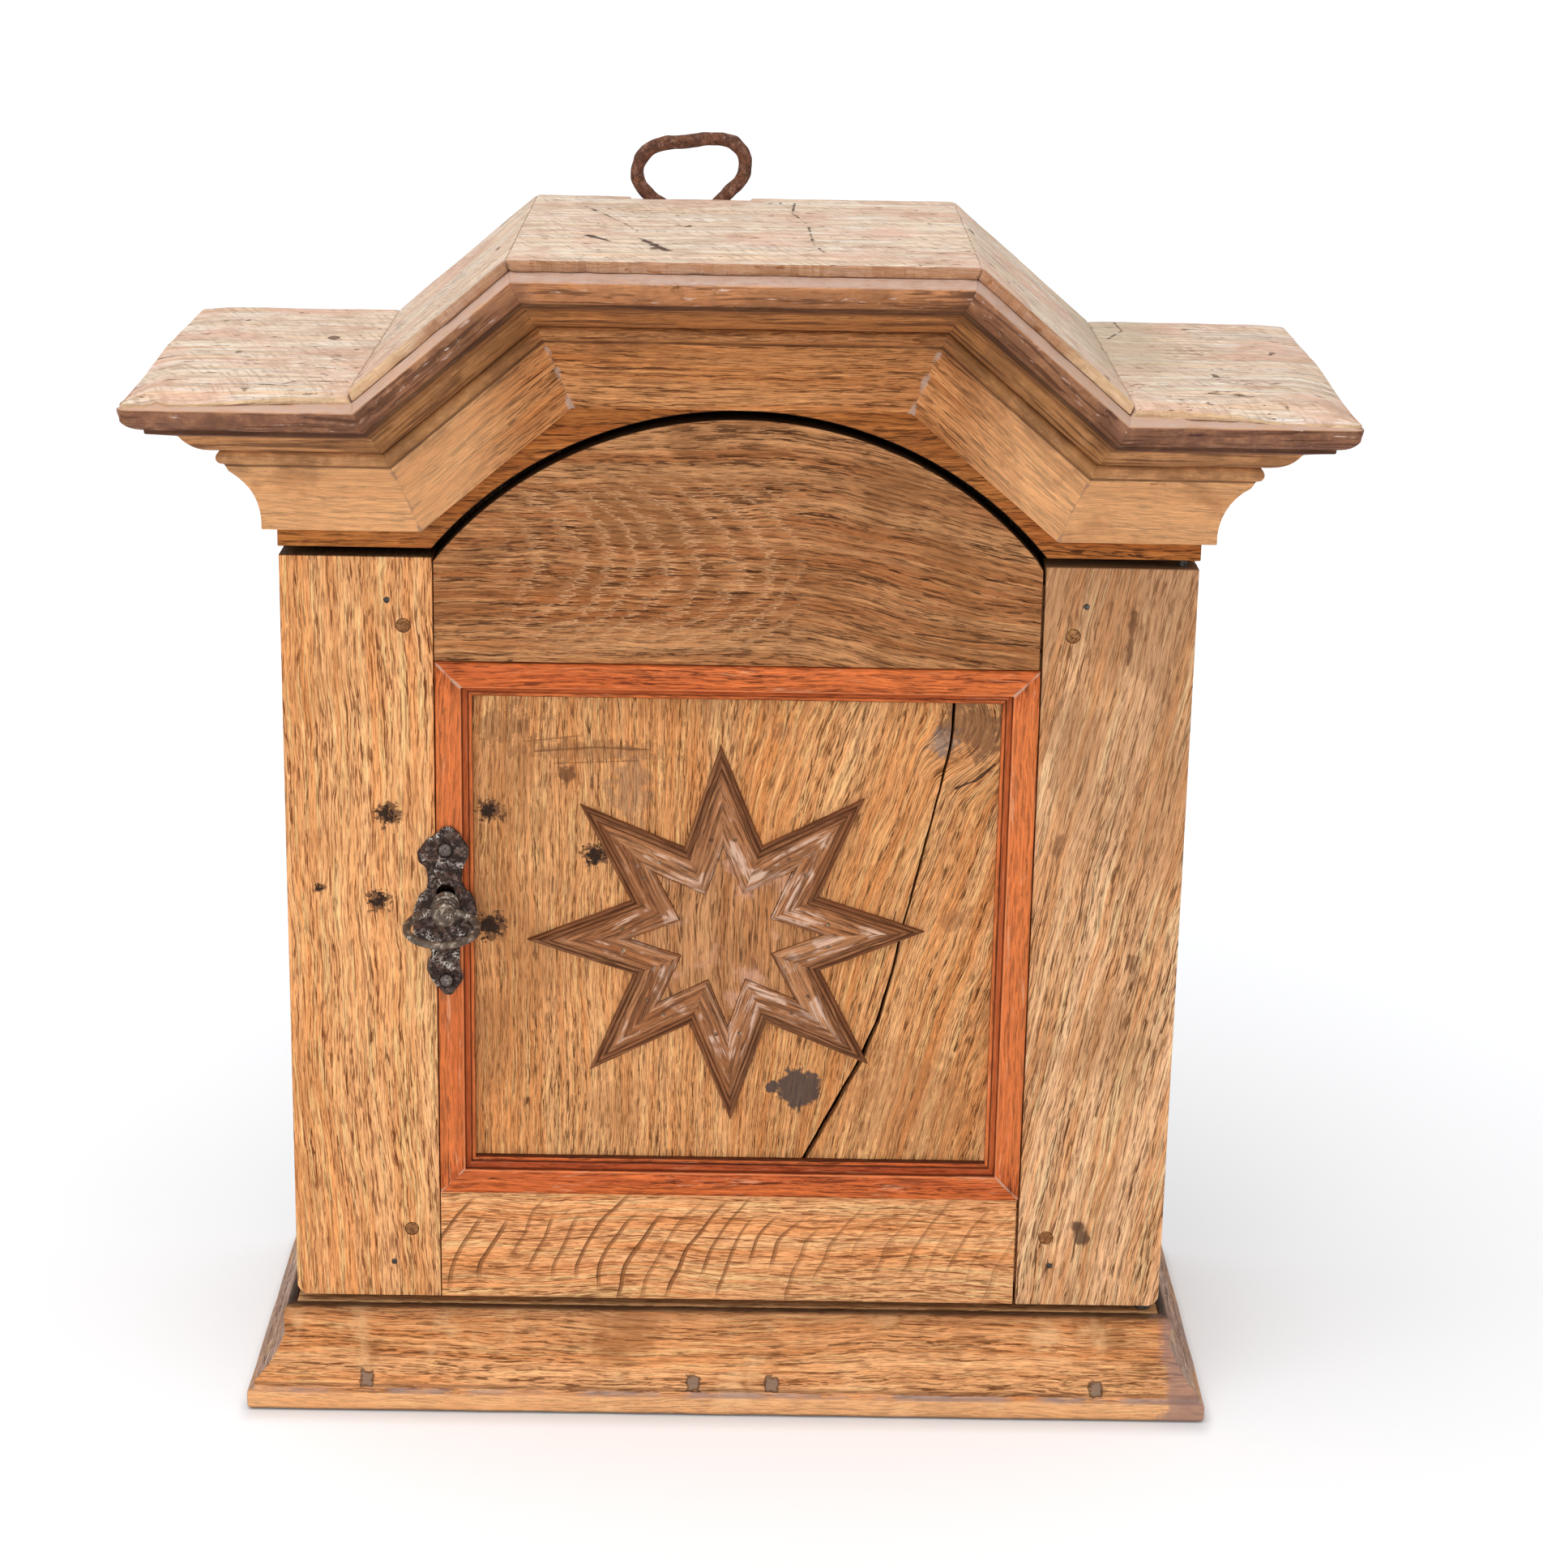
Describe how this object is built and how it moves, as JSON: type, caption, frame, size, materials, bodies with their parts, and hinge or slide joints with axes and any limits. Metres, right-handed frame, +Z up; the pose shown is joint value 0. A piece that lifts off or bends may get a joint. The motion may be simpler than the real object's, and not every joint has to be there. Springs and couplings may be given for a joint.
{
  "type": "wall cabinet",
  "caption": "Oak hanging wall cabinet with a hooded moulded cornice, an arched door with a star on its framed panel, an iron lock with key, a moulded base and an iron hanging loop.",
  "frame": {"origin": "middle of the bounding box in plan, on the plane of the base's underside", "axes": "+X along the front from left to right, +Y from the front to the wall, +Z up"},
  "size_m": [0.7006, 0.301, 0.7721],
  "materials": {
    "honey_oak": "old waxed oak, worn",
    "brown_oak": "darker old oak, worn",
    "red_stained_oak": "red stain, scuffed",
    "dusty_oak": "unpolished, dusty",
    "forged_iron": "forged, pitted",
    "rusty_iron": "forged, rusty",
    "key_steel": "forged, handled bright"
  },
  "bodies": {
    "case": {"side_left": "honey_oak", "side_right": "honey_oak", "bottom_board": "honey_oak", "shelf": "honey_oak", "plinth_rail": "brown_oak", "back_board_left": "dusty_oak", "back_board_middle": "dusty_oak", "back_board_right": "dusty_oak", "frieze_board": "honey_oak", "cornice_return_left": "honey_oak", "cornice_flat_left": "honey_oak", "cornice_rake_left": "honey_oak", "cornice_top": "honey_oak", "cornice_rake_right": "honey_oak", "cornice_flat_right": "honey_oak", "cornice_return_right": "honey_oak", "roof_flat_left": "dusty_oak", "roof_slope_left": "dusty_oak", "roof_top": "dusty_oak", "roof_slope_right": "dusty_oak", "roof_flat_right": "dusty_oak", "base_moulding_left": "honey_oak", "base_moulding_front": "honey_oak", "base_moulding_right": "honey_oak", "hanging_loop": "rusty_iron", "loop_nail_upper": "rusty_iron", "loop_nail_lower": "rusty_iron", "pivot_pin_upper": "forged_iron", "pivot_pin_lower": "forged_iron", "bolt_keeper": "forged_iron"},
    "door": {"stile_left": "honey_oak", "stile_right": "honey_oak", "rail_top": "brown_oak", "rail_bottom": "honey_oak", "peg_top_left": "brown_oak", "peg_top_right": "brown_oak", "peg_bottom_left": "brown_oak", "peg_bottom_right": "brown_oak", "panel": "honey_oak", "panel_moulding_bottom": "red_stained_oak", "panel_moulding_right": "red_stained_oak", "panel_moulding_top": "red_stained_oak", "panel_moulding_left": "red_stained_oak", "star_point_1": "brown_oak", "star_point_2": "brown_oak", "star_point_3": "brown_oak", "star_point_4": "brown_oak", "star_point_5": "brown_oak", "star_point_6": "brown_oak", "star_point_7": "brown_oak", "star_point_8": "brown_oak", "star_core": "honey_oak", "escutcheon": "forged_iron", "escutcheon_nail_upper": "forged_iron", "escutcheon_nail_lower": "forged_iron", "lock_case": "forged_iron"},
    "bolt": {"lock_bolt": "key_steel"},
    "key": {"key": "key_steel"}
  },
  "joints": [
    {"name": "door_swing", "type": "hinge", "parent": "case", "child": "door", "pos_m": [0.2628, -0.0635, 0.3], "axis": [0, 0, 1], "range_deg": [0, 120]},
    {"name": "key_turn", "type": "hinge", "parent": "door", "child": "key", "pos_m": [-0.175, -0.0778, 0.331], "axis": [0, -1, 0], "range_deg": [0, 180]},
    {"name": "bolt_slide", "type": "slide", "parent": "door", "child": "bolt", "axis": [-1, 0, 0], "range_m": [0, 0.012]}
  ],
  "couplings": [
    {"joint": "key_turn", "follows": "bolt_slide", "rad_per_m": 261.79}
  ]
}
